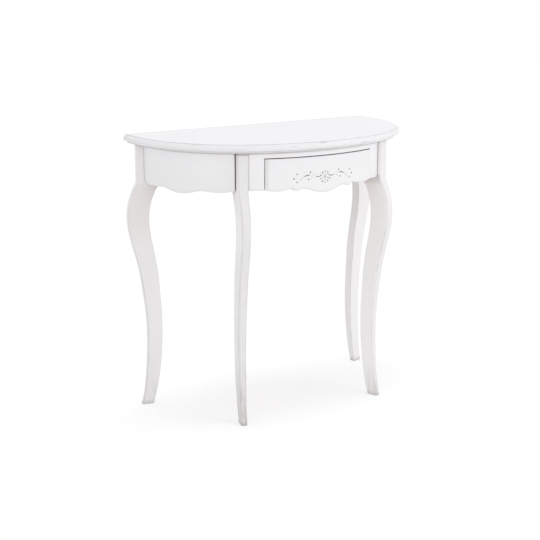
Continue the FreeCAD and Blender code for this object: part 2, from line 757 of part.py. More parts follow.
runner_screw_sizes = ("runner_screw_radius", "runner_screw_head", "runner_screw_length")
runner_screw = screw_form("runner_screw", *runner_screw_sizes, "0")
runner_screw_hole = screw_form("runner_screw_hole", *runner_screw_sizes, "screw_slack")
RUNNER_SCREW_SHARES = ("1 / 6", "1 / 2", "5 / 6")
runner_screws = []
drawer_stops = []
for hand, side in HANDS.items():
    along_x = FreeCAD.Rotation(FreeCAD.Vector(0, 1, 0), RIGHT_ANGLE * side)
    feet = []
    for share in RUNNER_SCREW_SHARES:
        foot_y = f"{RUNNER_FRONT_Y} + {RUNNER_LENGTH} * {share}"
        foot = point(RUNNER_INNER_X, foot_y, f"{RUNNER_LOW} + runner_height / 2")
        foot.x *= side
        feet.append(FreeCAD.Placement(foot, along_x))
    runner_screws += placed_copies(runner_screw, f"{hand}_runner_screw", feet)
    holes = placed_copies(runner_screw_hole, f"{hand}_runner_hole", feet)

    guide_low = f"{APRON_LOW} + guide_rise"
    guide = box(f"{hand}_guide",
                ("guide_thickness", f"{BACK_RAIL_Y} - {DRAWER_FRONT_Y}", "apron_depth - guide_rise"),
                mirrored_corner(side, OPENING_HALF, "guide_thickness", DRAWER_FRONT_Y, guide_low))
    fitted = inside_bay(f"{hand}_guide", guide, "front")
    finish(f"{hand}_guide_board", drilled(f"{hand}_guide", fitted, holes))

    runner = box(f"{hand}_batten", ("runner_reach", RUNNER_LENGTH, "runner_height"),
                 mirrored_corner(side, RUNNER_INNER_X, "runner_reach", RUNNER_FRONT_Y, RUNNER_LOW))
    finish(f"{hand}_runner", drilled(f"{hand}_batten", runner, holes))

    stop_y = f"{DRAWER_BACK_Y} + stop_seat"
    stop_x = f"({OPENING_HALF} - stop_reach)"
    drawer_stops.append(box(f"{hand}_stop", ("stop_reach", "stop_length", "stop_height"),
                            mirrored_corner(side, stop_x, "stop_reach", stop_y, f"{SIDE_TOP} - stop_height")))
finish("runner_screws", group("runner_screw_set", runner_screws))
finish("drawer_stops", group("drawer_stop_set", drawer_stops))


# Drawer: bowed scalloped front, two grooved sides, a back, and a bottom panel in grooves
def bowed_plan(body, name, half, face, rear, raised):
    """Plan with a bowed front, straight sides and a straight back at rear, measured from the arc's centre."""
    plan = sketch_on(body, "XY_Plane", name, raised)
    outline(plan, [
        (f"-{half}", f"-sqrt({face} ^ 2 - {half} ^ 2)", (face, 1)),
        (half, f"-sqrt({face} ^ 2 - {half} ^ 2)"),
        (half, rear),
        (f"-{half}", rear),
    ])
    return plan


def drawer_front():
    body = new_body("drawer_front_board", bay_frame("front"))
    plan = sketch_on(body, "XY_Plane", "drawer_front_plan", f"{APRON_LOW} - front_lobe_drop")
    edge_y = f"sqrt({DRAWER_FACE} ^ 2 - {DRAWER_HALF} ^ 2)"
    back_y = f"sqrt({FRONT_BACK_FACE} ^ 2 - {DRAWER_HALF} ^ 2)"
    outline(plan, [
        (f"-{DRAWER_HALF}", f"-{edge_y}", (DRAWER_FACE, 1)),
        (DRAWER_HALF, f"-{edge_y}"),
        (DRAWER_HALF, f"-{back_y}", (FRONT_BACK_FACE, -1)),
        (f"-{DRAWER_HALF}", f"-{back_y}"),
    ])
    pad(body, plan, f"{DRAWER_TOP} - {APRON_LOW} + front_lobe_drop")
    low, peak = f"({APRON_LOW} - front_lobe_drop)", f"({APRON_LOW} - front_peak_drop)"
    lobe, cove, meet_x, meet_z = centre_lobe(low, "front_peak_x", peak)
    run, fall = "(cusp_x - front_peak_x)", "(cusp_drop - front_peak_drop)"
    cusp_radius = f"(({run} ^ 2 + {fall} ^ 2) / (2 * {fall}))"
    beyond = f"({DRAWER_HALF} + drawer_gap)"
    scallop_pocket(body, "drawer_scallop", beyond, f"{low} - front_lobe_drop", [
        (beyond, APRON_LOW),
        (DRAWER_HALF, APRON_LOW, ("outer_lobe_radius", -1)),
        ("notch_x", f"{APRON_LOW} + notch_rise", ("cusp_flank_radius", -1)),
        ("cusp_x", f"{APRON_LOW} - cusp_drop", (cusp_radius, 1)),
        ("front_peak_x", peak, (cove, 1)),
        (meet_x, meet_z, (lobe, -1)),
    ])
    return body


def bottom_panel(name, slack):
    """The drawer's bottom, or with slack the room for it: it reaches into the grooves round it."""
    body = new_body(name, bay_frame("front"))
    half = f"({SIDE_INNER_X} + panel_groove - panel_slack + {slack})"
    face = f"({FRONT_BACK_FACE} + panel_groove - panel_slack + {slack})"
    rear = f"({DRAWER_BACK_Y} - {FRONT_CENTRE_Y})"
    plan = bowed_plan(body, f"{name}_plan", half, face, rear, f"{PANEL_LOW} - {slack}")
    pad(body, plan, f"drawer_bottom_thickness + 2 * {slack}")
    return body


panel_room = bottom_panel("panel_room", "panel_slack")
finish("drawer_bottom", bottom_panel("drawer_bottom_panel", "0"))

side_middle_x = f"({SIDE_OUTER_X} - drawer_side_thickness / 2)"
side_front_y = f"({FRONT_CENTRE_Y} - sqrt({FRONT_BACK_FACE} ^ 2 - {side_middle_x} ^ 2))"
drawer_dowels = []
drawer_dowel_holes = {"front": [], -1: [], 1: [], "back": []}
dowel_rises = [value(f"({PANEL_TOP} + {RUNNER_LOW}) / 2"), value(f"({RUNNER_TOP} + {SIDE_TOP}) / 2")]
for side in HANDS.values():
    into_front = FreeCAD.Rotation(FreeCAD.Vector(1, 0, 0), RIGHT_ANGLE)
    into_back = FreeCAD.Rotation(FreeCAD.Vector(0, 1, 0), -RIGHT_ANGLE * side)
    front_foot = point(side_middle_x, f"{side_front_y} + drawer_dowel_length - drawer_dowel_in_front")
    back_foot = point(f"{SIDE_INNER_X} + drawer_dowel_in_front",
                      f"{DRAWER_BACK_Y} - drawer_back_thickness / 2")
    for joint, foot, lie in (("front", front_foot, into_front), ("back", back_foot, into_back)):
        for rise in dowel_rises:
            axis = FreeCAD.Placement(FreeCAD.Vector(side * foot.x, foot.y, rise), lie)
            name = f"drawer_dowel_{len(drawer_dowels)}"
            drawer_dowels.append(cylinder(name, "drawer_dowel_radius", "drawer_dowel_length", axis))
            hole = cylinder(f"{name}_hole", "drawer_dowel_radius + dowel_slack",
                            "drawer_dowel_length + 2 * dowel_slack",
                            axis * at(FreeCAD.Vector(0, 0, -value("dowel_slack"))))
            drawer_dowel_holes[joint].append(hole)
            drawer_dowel_holes[side].append(hole)
finish("drawer_dowels", group("drawer_dowel_set", drawer_dowels))

finish("drawer_front", drilled("drawer_front", drawer_front(), [panel_room, *drawer_dowel_holes["front"]]))

GROOVE_DEPTH = f"(runner_reach + runner_end_play - ({OPENING_HALF} - {SIDE_OUTER_X}))"
for hand, side in HANDS.items():
    board = box(f"drawer_{hand}_board",
                ("drawer_side_thickness", DRAWER_DEPTH, "drawer_side_height"),
                mirrored_corner(side, SIDE_INNER_X, "drawer_side_thickness", DRAWER_FRONT_Y, SIDE_LOW))
    groove = box(f"drawer_{hand}_groove",
                 (GROOVE_DEPTH, DRAWER_DEPTH, "runner_height + runner_seat + runner_play"),
                 mirrored_corner(side, f"{SIDE_OUTER_X} - {GROOVE_DEPTH}", GROOVE_DEPTH, DRAWER_FRONT_Y,
                                 f"{RUNNER_LOW} - runner_play"))
    fitted = inside_bay(f"drawer_{hand}_board", board, "front")
    finish(f"drawer_{hand}_side",
           drilled(f"drawer_{hand}_side", fitted, [groove, panel_room, *drawer_dowel_holes[side]]))

back_low = f"({PANEL_TOP} + panel_slack)"
back_height = f"{SIDE_TOP} - drawer_back_drop - {back_low}"
back_board = box("drawer_back_board", (f"2 * {SIDE_INNER_X}", "drawer_back_thickness", back_height),
                 at(point(f"-{SIDE_INNER_X}", f"{DRAWER_BACK_Y} - drawer_back_thickness", back_low)))
finish("drawer_back", drilled("drawer_back", back_board, drawer_dowel_holes["back"]))


# Every object has to have come out whole before anything is written
doc.recompute()
for item in doc.Objects:
    if {"Invalid", "Error"} & set(item.State):
        raise RuntimeError(f"{item.Label} did not build: {item.State}")
for piece in pieces:
    if piece.Shape.isNull() or not piece.Shape.isValid() or not piece.Shape.Solids:
        raise RuntimeError(f"{piece.Label} has no valid solid")

os.makedirs("parts", exist_ok=True)
for piece in pieces:
    piece.Shape.exportStep(f"parts/{piece.Label}.step")
    print(piece.Label, len(piece.Shape.Solids), "solids,", round(piece.Shape.Volume / 1000, 1), "cm3")
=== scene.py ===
import math

import bpy
import numpy as np
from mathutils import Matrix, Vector


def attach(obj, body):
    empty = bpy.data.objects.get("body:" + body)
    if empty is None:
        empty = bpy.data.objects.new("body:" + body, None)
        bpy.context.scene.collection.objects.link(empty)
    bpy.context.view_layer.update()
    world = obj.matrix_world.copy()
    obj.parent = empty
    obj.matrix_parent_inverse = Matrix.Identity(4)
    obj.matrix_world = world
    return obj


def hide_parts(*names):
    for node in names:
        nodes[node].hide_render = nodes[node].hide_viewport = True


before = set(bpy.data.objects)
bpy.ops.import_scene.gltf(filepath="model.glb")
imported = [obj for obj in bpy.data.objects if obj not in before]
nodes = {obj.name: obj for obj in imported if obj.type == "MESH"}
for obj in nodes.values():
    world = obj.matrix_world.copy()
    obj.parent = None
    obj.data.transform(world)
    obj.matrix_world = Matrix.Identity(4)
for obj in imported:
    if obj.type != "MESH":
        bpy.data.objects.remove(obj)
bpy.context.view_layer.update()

# Cabriole legs: four hardwood blanks, sawn to an S curve on the bandsaw, shaved round at the outer arrises
# and brushed with satin white paint over a grey-brown ground, which shows where feet and arrises are rubbed.
# Per leg: tones of the flats and curves at knee and shin, which are painted light and shade, and the amounts
# of the warm painted shade at the knee and of the painted shadow line at the top of the post.
LEGS = {
    "front_left_leg": dict(turn=-15.5, flat_light_tones=(1.08, 1.0), curve_light_tones=(0.92, 0.935),
                           knee_shade=0.0, post_top_shade=0.68, grime_head=0.19, grime=0.4),
    "front_right_leg": dict(turn=15.5, flat_light_tones=(1.085, 1.075), curve_light_tones=(0.966, 0.96),
                            knee_shade=0.0, post_top_shade=0.15, grime_head=0.1, grime=0.24),
    "back_left_leg": dict(turn=-105.0, flat_light_tones=(0.985, 0.98), curve_light_tones=(1.0, 0.965),
                          knee_shade=0.14, post_top_shade=0.2, grime_head=0.19, grime=0.14),
    "back_right_leg": dict(turn=105.0, flat_light_tones=(1.025, 1.035), curve_light_tones=(0.965, 1.02),
                           knee_shade=0.0, post_top_shade=0.15, grime_head=0.19, grime=0.04),
}
LEG_WHITE = (0.84, 0.825, 0.834)
# ground colour at rubbed arrises, specks, shin, foot and nose streaks, also the painted shadow line along the
# top's lip
GROUND_AND_SHADE = (0.27, 0.235, 0.21, 1.0)
# colour of painted shade: in corners, under the top, in a seam, along lower edges and inside the frame
SHADE_GLAZE = (0.36, 0.33, 0.31, 1.0)
# warm colour of the painted shade at a knee
KNEE_SHADE_TINT = (0.62, 0.5, 0.4, 1.0)
BRUSH_RANGE, BRUSH_TONES = (0.3, 0.7), (0.985, 1.012)
SATIN = (0.5, 0.42)
KNEE_TO_SHIN = (0.49, 0.41)
# heights of the band of warm painted shade at the knee
KNEE_SHADE_RISE, KNEE_SHADE_FALL = (0.44, 0.52), (0.64, 0.61)
# heights and amount of the painted shade on inward faces just under the frame
FRAME_SHADE_RISE, FRAME_SHADE_FALL, FRAME_SHADE = (0.603, 0.63), (0.638, 0.631), 0.5
# heights of the painted shadow line at the top of the posts, under the top
POST_SHADE_RISE = (0.7196, 0.721)
GRIME_FULL, BETWEEN_STREAKS = 0.02, 0.5
FOOT_WEAR_RISE, FOOT_WEAR = (0.013, 0.0), 0.35
OFF_CURVE, OFF_SIDE, ON_FLAT = (0.15, 0.5), (0.97, 0.85), (0.5, 0.95)
TO_MIDDLE = (-0.5, -0.85)
HAND_RANGE, ARRIS_WEAR = (0.32, 0.62), (0.05, 0.22)
VALUE, VECTOR = "NodeSocketFloat", "NodeSocketVector"


def put(tree, kind, inputs=None, **settings):
    """Adds a node, sets its properties, and links or fills its inputs by name or number."""
    made = tree.nodes.new(kind)
    for name, setting in settings.items():
        setattr(made, name, setting)
    for socket, given in (inputs or {}).items():
        if isinstance(given, bpy.types.NodeSocket):
            tree.links.new(given, made.inputs[socket])
        else:
            made.inputs[socket].default_value = given
    return made


def ramp(tree, value, start, end, low=0.0, high=1.0, **settings):
    """Goes evenly from low to high while the value goes from start to end, and stays level outside them.

    The pairs that are named in each section are such a start and end, or such a low and high.
    """
    limits = {"From Min": start, "From Max": end, "To Min": low, "To Max": high}
    return put(tree, "ShaderNodeMapRange", {"Value": value, **limits}, **settings).outputs["Result"]


def product(tree, first, second):
    """One value times another."""
    return put(tree, "ShaderNodeMath", {0: first, 1: second}, operation="MULTIPLY").outputs[0]


def scaled(tree, vector, by):
    """Colour or place, with each part times a value or times the same part of another."""
    return put(tree, "ShaderNodeVectorMath", {0: vector, 1: by}, operation="MULTIPLY").outputs["Vector"]


def dot(tree, first, second):
    """Share of one direction along another."""
    return put(tree, "ShaderNodeVectorMath", {0: first, 1: second}, operation="DOT_PRODUCT").outputs["Value"]


def split(tree, vector):
    """The X, Y and Z of a place or direction."""
    return put(tree, "ShaderNodeSeparateXYZ", {0: vector}).outputs


def facing(tree):
    """The direction that a spot's face turns to."""
    return put(tree, "ShaderNodeNewGeometry").outputs["Normal"]


def noise(tree, vector, scale, detail, distortion=0.0):
    """Cloudy value about 0.5."""
    cloud = {"Vector": vector, "Scale": scale, "Detail": detail, "Distortion": distortion}
    return put(tree, "ShaderNodeTexNoise", cloud).outputs["Fac"]


def blended(tree, factor, below, above):
    """Colour that goes from below to above as the factor goes from 0 to 1."""
    return put(tree, "ShaderNodeMix", {"Factor": factor, 6: below, 7: above}, data_type="RGBA").outputs[2]


def effect(tree, group, **inputs):
    """Places a node group with its own values and gives its outputs."""
    return put(tree, "ShaderNodeGroup", inputs, node_tree=group).outputs


def open_group(name, inputs, outputs):
    """New shader node group with named sockets: returns its tree, its inputs by name and its output node."""
    tree = bpy.data.node_groups.new(name, "ShaderNodeTree")
    for label, (kind, given) in inputs.items():
        socket = tree.interface.new_socket(label, in_out="INPUT", socket_type=kind)
        if given is not None:
            socket.default_value = given
    for label, kind in outputs.items():
        tree.interface.new_socket(label, in_out="OUTPUT", socket_type=kind)
    return tree, tree.nodes.new("NodeGroupInput").outputs, tree.nodes.new("NodeGroupOutput").inputs


def rubbed_edge_group():
    """Mask of worn arrises: how far a rounded normal leaves the face's own, broken up by a fine noise."""
    tree, given, out = open_group(
        "rubbed_edge",
        {"Vector": (VECTOR, None), "Width": (VALUE, 0.002), "Scale": (VALUE, 60.0), "Cover": (VALUE, 0.55)},
        {"Mask": VALUE, "Normal": VECTOR})
    rounded = put(tree, "ShaderNodeBevel", {"Radius": given["Width"]}, samples=6).outputs["Normal"]
    bend = ramp(tree, dot(tree, rounded, facing(tree)), 0.985, 0.84)
    upper = put(tree, "ShaderNodeMath", {0: given["Cover"], 1: 0.12}, operation="ADD").outputs[0]
    patches = ramp(tree, noise(tree, given["Vector"], given["Scale"], 6.0), given["Cover"], upper)
    tree.links.new(product(tree, bend, patches), out["Mask"])
    tree.links.new(rounded, out["Normal"])
    return tree


def corner_shade_group():
    """Mask of painted shade in corners: how much of the sky a spot doesn't see, within a short reach."""
    tree, given, out = open_group(
        "corner_shade", {"Reach": (VALUE, 0.006), "Amount": (VALUE, 0.6)}, {"Mask": VALUE})
    seen = put(tree, "ShaderNodeAmbientOcclusion", {"Distance": given["Reach"]}, samples=8).outputs["AO"]
    tree.links.new(product(tree, ramp(tree, seen, 0.82, 0.4), given["Amount"]), out["Mask"])
    return tree


def brush_marks_group():
    """Tone and height of brushed paint: a noise drawn out along the brush's way, over a broad uneven tone."""
    tree, given, out = open_group(
        "brush_marks",
        {"Vector": (VECTOR, None), "Fineness": (VECTOR, (3.0, 3.0, 90.0)), "Blotch": (VALUE, 7.0)},
        {"Tone": VALUE, "Height": VALUE})
    hairs = noise(tree, scaled(tree, given["Vector"], given["Fineness"]), 6.0, 5.0)
    broad = noise(tree, given["Vector"], given["Blotch"], 2.0)
    both = put(tree, "ShaderNodeMath", {0: hairs, 1: broad}, operation="ADD").outputs[0]
    tree.links.new(product(tree, both, 0.5), out["Tone"])
    tree.links.new(hairs, out["Height"])
    return tree


def rubbed_specks_group():
    """Mask of small rubbed places: the highest spots of a noise that is drawn out along the rubbing."""
    tree, given, out = open_group(
        "rubbed_specks",
        {"Vector": (VECTOR, None), "Fineness": (VECTOR, (25.0, 25.0, 400.0)), "Cover": (VALUE, 0.68)},
        {"Mask": VALUE})
    spots = noise(tree, scaled(tree, given["Vector"], given["Fineness"]), 1.0, 4.0)
    upper = put(tree, "ShaderNodeMath", {0: given["Cover"], 1: 0.06}, operation="ADD").outputs[0]
    tree.links.new(ramp(tree, spots, given["Cover"], upper), out["Mask"])
    return tree


rubbed_edge = rubbed_edge_group()
corner_shade = corner_shade_group()
brush_marks = brush_marks_group()
rubbed_specks = rubbed_specks_group()


def open_material(name):
    """New material: returns it, its tree, the shader that it starts with and a spot's place on the table."""
    material = bpy.data.materials.new(name)
    material.use_nodes = True
    tree = material.node_tree
    return material, tree, tree.nodes["Principled BSDF"], put(tree, "ShaderNodeTexCoord").outputs["Object"]


def white_paint(name, white, fineness, rub_width, rub_cover, rub_amount, shade_reach, shade_amount):
    """Satin white paint: brushed tone, painted shade in the corners, ground colour at rubbed arrises.

    Returns the material, its tree, the shader, the place and the colour so far. The piece's own function
    adds to the colour and links it to the shader.
    """
    material, tree, shader, place = open_material(name)
    brushed = effect(tree, brush_marks, Vector=place, Fineness=fineness)
    white = scaled(tree, white, ramp(tree, brushed["Tone"], *BRUSH_RANGE, *BRUSH_TONES))
    # painted shade: darker where a spot sees less of the sky, in corners and under parts
    corner_shading = effect(tree, corner_shade, Reach=shade_reach, Amount=shade_amount)
    colour = blended(tree, corner_shading["Mask"], white, SHADE_GLAZE)
    rubbed = effect(tree, rubbed_edge, Vector=place, Width=rub_width, Cover=rub_cover)
    colour = blended(tree, product(tree, rubbed["Mask"], rub_amount), colour, GROUND_AND_SHADE)
    tree.links.new(ramp(tree, brushed["Tone"], 0.0, 1.0, *SATIN), shader.inputs["Roughness"])
    bump = put(tree, "ShaderNodeBump", {"Strength": 0.12, "Distance": 0.0004, "Height": brushed["Height"],
                                        "Normal": rubbed["Normal"]})
    tree.links.new(bump.outputs["Normal"], shader.inputs["Normal"])
    return material, tree, shader, place, colour


def dress(names, material):
    """Gives the objects of these CAD nodes a finished material in place of the one they came with."""
    for name in names:
        materials = nodes[name].data.materials
        materials.clear()
        materials.append(material)


def leg_paint(name, turn, flat_light_tones, curve_light_tones, knee_shade, post_top_shade, grime_head, grime):
    """White paint, rubbed along the rounded arrises, with specks, grime on the shin and a worn foot.

    The flats and the sawn curves each have a tone of their own, at the knee and at the shin, set leg by leg:
    this is painted light and shade, each face lighter or darker as the light falls on it. A warm painted
    shade darkens a knee, and a painted shadow line lies at the top of the posts, under the top. Just under
    the frame, the faces that turn to the middle of the table get painted shade, where the drawer and aprons
    shade them.

    An arris is where the normal lies between the blank's flat side, at a right angle to the leg's turn, and
    its sawn curve: the share of the normal along the side's direction is about 0.7 there. The turn is in
    degrees, the tones are for the knee and the shin, and grime_head is the height that the grime reaches.
    """
    material, tree, shader, place, colour = white_paint(
        name, LEG_WHITE, (60.0, 60.0, 3.0), rub_width=0.002, rub_cover=0.5, rub_amount=0.5,
        shade_reach=0.006, shade_amount=0.5)
    spot, normal = split(tree, place), facing(tree)
    height = spot["Z"]
    side = (math.cos(math.radians(turn)), math.sin(math.radians(turn)), 0.0)
    share = put(tree, "ShaderNodeMath", {0: dot(tree, normal, side)}, operation="ABSOLUTE").outputs[0]
    flatness = ramp(tree, share, *ON_FLAT)
    # painted light and shade: each face's tone follows how the light falls on it, at knee and shin
    flat_tone, curve_tone = [ramp(tree, height, *KNEE_TO_SHIN, *tones) for tones in (flat_light_tones, curve_light_tones)]
    tone = put(tree, "ShaderNodeMix", {"Factor": flatness, 2: curve_tone, 3: flat_tone}).outputs[0]
    colour = scaled(tree, colour, tone)

    # painted shade on the faces that turn to the middle of the table, just under the frame
    hand_side = put(tree, "ShaderNodeMath", {0: spot["X"]}, operation="SIGN").outputs[0]
    inward = ramp(tree, product(tree, split(tree, normal)["X"], hand_side), *TO_MIDDLE)
    frame_shade_band = product(tree, ramp(tree, height, *FRAME_SHADE_RISE, high=FRAME_SHADE), ramp(tree, height, *FRAME_SHADE_FALL))
    colour = blended(tree, product(tree, inward, frame_shade_band), colour, SHADE_GLAZE)
    # painted shadow line at the top of the post, under the top
    colour = blended(tree, ramp(tree, height, *POST_SHADE_RISE, high=post_top_shade), colour, SHADE_GLAZE)
    # warm painted shade on the flats at the knee, where the top shades the leg
    knee_shade_band = product(tree, ramp(tree, height, *KNEE_SHADE_RISE), ramp(tree, height, *KNEE_SHADE_FALL, high=knee_shade))
    colour = blended(tree, product(tree, knee_shade_band, flatness), colour, KNEE_SHADE_TINT)

    arris = product(tree, ramp(tree, share, *OFF_CURVE), ramp(tree, share, *OFF_SIDE))
    pressure = ramp(tree, noise(tree, place, 22.0, 5.0), *HAND_RANGE, *ARRIS_WEAR)
    colour = blended(tree, product(tree, arris, pressure), colour, GROUND_AND_SHADE)
    specks = effect(tree, rubbed_specks, Vector=place, Fineness=(150.0, 150.0, 60.0), Cover=0.74)
    colour = blended(tree, specks["Mask"], colour, GROUND_AND_SHADE)
    streaks = effect(tree, rubbed_specks, Vector=place, Fineness=(190.0, 190.0, 7.0), Cover=0.46)
    streaked = ramp(tree, streaks["Mask"], 0.0, 1.0, low=BETWEEN_STREAKS)
    shin = product(tree, ramp(tree, height, grime_head, GRIME_FULL, high=grime), streaked)
    colour = blended(tree, shin, colour, GROUND_AND_SHADE)
    colour = blended(tree, ramp(tree, height, *FOOT_WEAR_RISE, high=FOOT_WEAR), colour, GROUND_AND_SHADE)
    tree.links.new(colour, shader.inputs["Base Color"])
    return material


for leg, leg_values in LEGS.items():
    dress([leg], leg_paint(f"{leg}_paint", **leg_values))

# Bowed aprons and the straight back rail: boards sawn to the curve, scalloped along the lower edge, painted
# like the legs on the outside, left as pale bare wood on the inside, and dowelled into the posts.
FRONT_BAY_Y = 0.32944
APRONS = {
    "left_side_apron": dict(centre=(-0.07474, 0.133, 0.0), seam_shade=0.0),
    "right_side_apron": dict(centre=(0.07474, 0.133, 0.0), seam_shade=0.0),
    "front_apron": dict(centre=(0.0, FRONT_BAY_Y, 0.0), seam_shade=0.6),
    "back_rail": dict(centre=(0.0, -9.0, 0.0), seam_shade=0.0),
}
APRON_WHITE = (0.85, 0.838, 0.851)
PALE_WOOD = (0.66, 0.49, 0.31, 1.0)
LATE_WOOD = (0.47, 0.31, 0.17, 1.0)
BOARD_GRAIN = (8.0, 8.0, 110.0)
# painted shade in the seam where the front board meets the left post
SEAM_SHADE_RISE = (-0.2017, -0.2032)
# heights and amount of the painted shadow under the top's overhang, along the top of the boards
UNDER_TOP_SHADE_RISE, UNDER_TOP_SHADE = (0.7203, 0.7218), 0.5
# width and amount of the painted shade along the lower edges of the scallops
EDGE_SHADE_WIDTH, EDGE_SHADE = 0.012, 0.14
EDGE_ROLL, SCALLOP_ZONE = (-0.05, -0.6), (0.665, 0.645)
# painted light: the boards lighter towards the top, under the overhang
UPPER_LIGHT_RISE, UPPER_LIGHT_TONES = (0.655, 0.712), (0.985, 1.03)
TO_BAY_CENTRE = (-0.5, -0.8)
COLOUR = "NodeSocketColor"


def wood_grain_group():
    """Colour and pores of planed wood: rings as a noise drawn out along the grain, finer pores over them."""
    tree, given, out = open_group(
        "wood_grain", {"Vector": (VECTOR, None), "Fineness": (VECTOR, (110.0, 110.0, 5.0))},
        {"Color": COLOUR, "Pores": VALUE})
    drawn = scaled(tree, given["Vector"], given["Fineness"])
    rings = noise(tree, drawn, 1.0, 3.0, distortion=0.6)
    pores = noise(tree, drawn, 7.0, 4.0)
    colour = blended(tree, ramp(tree, rings, 0.38, 0.66), PALE_WOOD, LATE_WOOD)
    colour = blended(tree, ramp(tree, pores, 0.6, 0.75, high=0.4), colour, LATE_WOOD)
    tree.links.new(colour, out["Color"])
    tree.links.new(pores, out["Pores"])
    return tree


wood_grain = wood_grain_group()


def apron_paint(name, centre, seam_shade):
    """White paint on the faces that turn away from the bay's centre, bare wood on those that turn to it.

    Painted shade darkens the corner under the top, the seam where the front board meets the left post, and
    the lower edges along the scallops. Painted light makes the boards lighter towards the top, under the
    overhang.
    """
    material, tree, shader, place, colour = white_paint(
        name, APRON_WHITE, (4.0, 4.0, 60.0), rub_width=0.0012, rub_cover=0.56, rub_amount=1.0,
        shade_reach=0.005, shade_amount=0.8)
    spot = split(tree, place)
    # painted shade in the seam where the front board meets the left post
    colour = blended(tree, ramp(tree, spot["X"], *SEAM_SHADE_RISE, high=seam_shade), colour, SHADE_GLAZE)
    # painted shadow under the top's overhang, along the top of the boards
    colour = blended(tree, ramp(tree, spot["Z"], *UNDER_TOP_SHADE_RISE, high=UNDER_TOP_SHADE), colour, SHADE_GLAZE)
    # painted shade along the lower edges of the scallops
    border = effect(tree, rubbed_edge, Vector=place, Width=EDGE_SHADE_WIDTH)
    rolled = ramp(tree, split(tree, border["Normal"])["Z"], *EDGE_ROLL)
    shade = product(tree, rolled, ramp(tree, spot["Z"], *SCALLOP_ZONE, high=EDGE_SHADE))
    colour = blended(tree, shade, colour, SHADE_GLAZE)
    # painted light: the boards lighter towards the top, under the overhang
    colour = scaled(tree, colour, ramp(tree, spot["Z"], *UPPER_LIGHT_RISE, *UPPER_LIGHT_TONES))

    spoke = put(tree, "ShaderNodeVectorMath", {0: place, 1: centre}, operation="SUBTRACT").outputs["Vector"]
    level = scaled(tree, spoke, (1.0, 1.0, 0.0))
    outward = put(tree, "ShaderNodeVectorMath", {0: level}, operation="NORMALIZE").outputs["Vector"]
    inside = ramp(tree, dot(tree, outward, facing(tree)), *TO_BAY_CENTRE)
    grain = effect(tree, wood_grain, Vector=place, Fineness=BOARD_GRAIN)
    tree.links.new(blended(tree, inside, colour, grain["Color"]), shader.inputs["Base Color"])
    return material


for apron, apron_values in APRONS.items():
    dress([apron], apron_paint(f"{apron}_paint", **apron_values))

# Bare wood inside the frame: pale softwood blocks, guide boards, runners and stops, planed and left
# unpainted, glued or screwed on where nobody looks, and the dowels that join aprons and posts.
BLOCK_NODES = ["front_left_glue_block", "front_right_glue_block", "back_left_glue_block",
               "back_right_glue_block", "apron_dowels"]
GUIDE_NODES = ["left_guide_board", "right_guide_board", "left_runner", "right_runner", "drawer_stops"]
RINGS_ACROSS, RINGS_ALONG = 110.0, 5.0
PLANED = (0.55, 0.75)


def bare_wood(name, fineness):
    """Planed pale wood, with the grain along the axis whose fineness is least, and pores that are felt."""
    material, tree, shader, place = open_material(name)
    grain = effect(tree, wood_grain, Vector=place, Fineness=fineness)
    tree.links.new(grain["Color"], shader.inputs["Base Color"])
    tree.links.new(ramp(tree, grain["Pores"], 0.0, 1.0, *PLANED), shader.inputs["Roughness"])
    bump = put(tree, "ShaderNodeBump", {"Strength": 0.2, "Distance": 0.0004, "Height": grain["Pores"]})
    tree.links.new(bump.outputs["Normal"], shader.inputs["Normal"])
    return material


upright_wood = bare_wood("upright_wood", (RINGS_ACROSS, RINGS_ACROSS, RINGS_ALONG))
lengthwise_wood = bare_wood("lengthwise_wood", (RINGS_ACROSS, RINGS_ALONG, RINGS_ACROSS))
dress(BLOCK_NODES, upright_wood)
dress(GUIDE_NODES, lengthwise_wood)

# Countersunk wood screws: turned steel with a thin zinc plating, driven through the runners into the guide
# boards, and up through the fixing blocks into the top.
SCREW_NODES = ["runner_screws", "top_screws"]
BRIGHT_ZINC, DULL_ZINC = (0.66, 0.65, 0.6, 1.0), (0.54, 0.53, 0.5, 1.0)
PLATED = (0.25, 0.5)


def zinc_plate(name):
    """Plated steel: a metal whose roughness and tone follow a fine crystal noise."""
    material, tree, shader, place = open_material(name)
    shader.inputs["Metallic"].default_value = 1.0
    crystals = noise(tree, place, 900.0, 3.0)
    tree.links.new(blended(tree, crystals, BRIGHT_ZINC, DULL_ZINC), shader.inputs["Base Color"])
    tree.links.new(ramp(tree, crystals, 0.0, 1.0, *PLATED), shader.inputs["Roughness"])
    return material


dress(SCREW_NODES, zinc_plate("zinc_plate"))

# Drawer box: two softwood sides grooved for the runners, a back and a thin bottom panel held in grooves,
# planed, dowelled and glued, and left unpainted.
dress(["drawer_left_side", "drawer_right_side"], lengthwise_wood)
crosswise_wood = bare_wood("crosswise_wood", (RINGS_ALONG, RINGS_ACROSS, RINGS_ACROSS))
dress(["drawer_back", "drawer_bottom", "drawer_dowels"], crosswise_wood)

# Carved drawer front: a bowed board with a scalloped lower edge, painted white. A flower spray is cut into
# it by hand with a veiner and a round punch, and dark wax is rubbed into the cuts.
DRAWER_WHITE = (0.837, 0.828, 0.842)
# dark wax in the carving, also the colour of the painted shade on the front's left bevel and lower edge
DARK_WAX_AND_SHADE = (0.035, 0.031, 0.029, 1.0)
MM = 0.001
BOW_RADIUS = 0.49994
FRONT_THICKNESS = 0.0195
FRONT_HALF = 0.1645
FRONT_SHIFT = 0.0011
FRONT_TOP = 0.7083
ARRIS = 0.0018
END_ARRIS = 0.0008
END_WIDTH = 0.0085
LEFT_END_DEPTH, RIGHT_END_DEPTH = 0.0044, 0.0007
FLAT_HALF = FRONT_HALF - END_ARRIS
BEVEL_START = FRONT_HALF - END_WIDTH
CREASE = 0.0004
# amount and rise of the painted shade on the drawer front's left end bevel
LEFT_BEVEL_SHADE, LEFT_BEVEL_SHADE_RISE = 0.035, 0.0006
